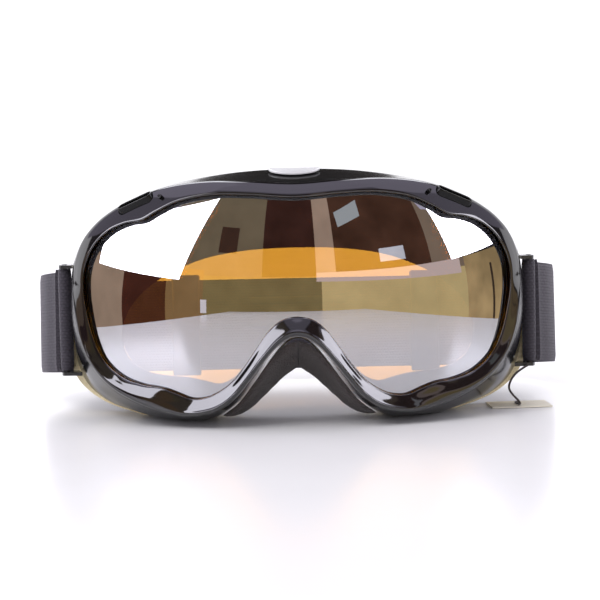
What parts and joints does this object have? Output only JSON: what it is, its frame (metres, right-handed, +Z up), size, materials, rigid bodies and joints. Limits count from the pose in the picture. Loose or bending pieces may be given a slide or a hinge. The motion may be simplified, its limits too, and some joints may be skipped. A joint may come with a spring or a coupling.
{
  "type": "motorcycle goggles",
  "caption": "Single-lens goggles: gloss frame with mirrored lens, vents, foam face seal, split nose flap and an elastic head strap with sliding adjusters.",
  "frame": {"origin": "centre of the bounding box of the goggles without the tag, at the floor they stand on", "axes": "+Z up, the lens faces -Y, the strap's back is towards +Y, X across the face"},
  "size_m": [0.2252, 0.1653, 0.1008],
  "materials": {
    "bezel_gloss": "gloss black moulded plastic",
    "frame_plastic": "gloss black flexible moulded frame",
    "lens_mirror": "amber polycarbonate with a silver mirror coat",
    "lens_clear": "clear inner lens",
    "gasket_foam": "closed-cell spacer foam",
    "vent_black": "satin black vent insert",
    "vent_foam": "open-cell filter foam",
    "badge_silver": "satin silver-white blank plate",
    "foam_yellow": "cream-yellow face foam",
    "fleece_dark": "dark fleece facing",
    "flap_dark": "dark brown-black textured foam",
    "bracket_plastic": "black moulded bracket",
    "bar_metal": "blackened steel pin",
    "strap_webbing": "dark grey-purple elastic webbing",
    "grip_silicone": "silicone grip strip",
    "slider_plastic": "black moulded adjuster",
    "tag_paper": "blank cream card",
    "tag_string": "thin dark string"
  },
  "bodies": {
    "frame": {"bezel": "bezel_gloss", "frame_body": "frame_plastic", "outer_lens": "lens_mirror", "inner_lens": "lens_clear", "lens_gasket": "gasket_foam", "vent_cup_left": "vent_black", "vent_cup_right": "vent_black", "vent_stud_left": "vent_black", "vent_stud_right": "vent_black", "top_vent_foam": "vent_foam", "badge_plate": "badge_silver", "face_foam_base": "foam_yellow", "face_fleece": "fleece_dark", "nose_flap_left": "flap_dark", "nose_flap_right": "flap_dark", "strap_arm_top_left": "bracket_plastic", "strap_arm_top_right": "bracket_plastic", "strap_arm_base_left": "bracket_plastic", "strap_arm_base_right": "bracket_plastic", "strap_bar_left": "bar_metal", "strap_bar_right": "bar_metal", "strap_loop_left": "strap_webbing", "strap_loop_right": "strap_webbing", "tag_card": "tag_paper", "tag_cord": "tag_string"},
    "strap": {"strap_band": "strap_webbing", "grip_upper": "grip_silicone", "grip_middle": "grip_silicone", "grip_lower": "grip_silicone"},
    "adjuster_left": {"slider_left": "slider_plastic"},
    "adjuster_right": {"slider_right": "slider_plastic"}
  },
  "joints": [
    {"name": "strap_swing", "type": "hinge", "parent": "frame", "child": "strap", "pos_m": [0, -0.0233, 0.0395], "axis": [1, 0, 0], "range_deg": [-15, 35]},
    {"name": "adjuster_left_slide", "type": "slide", "parent": "strap", "child": "adjuster_left", "axis": [1, 0, 0], "range_m": [-0.008, 0.012]},
    {"name": "adjuster_right_slide", "type": "slide", "parent": "strap", "child": "adjuster_right", "axis": [1, 0, 0], "range_m": [-0.018, 0.001]}
  ]
}
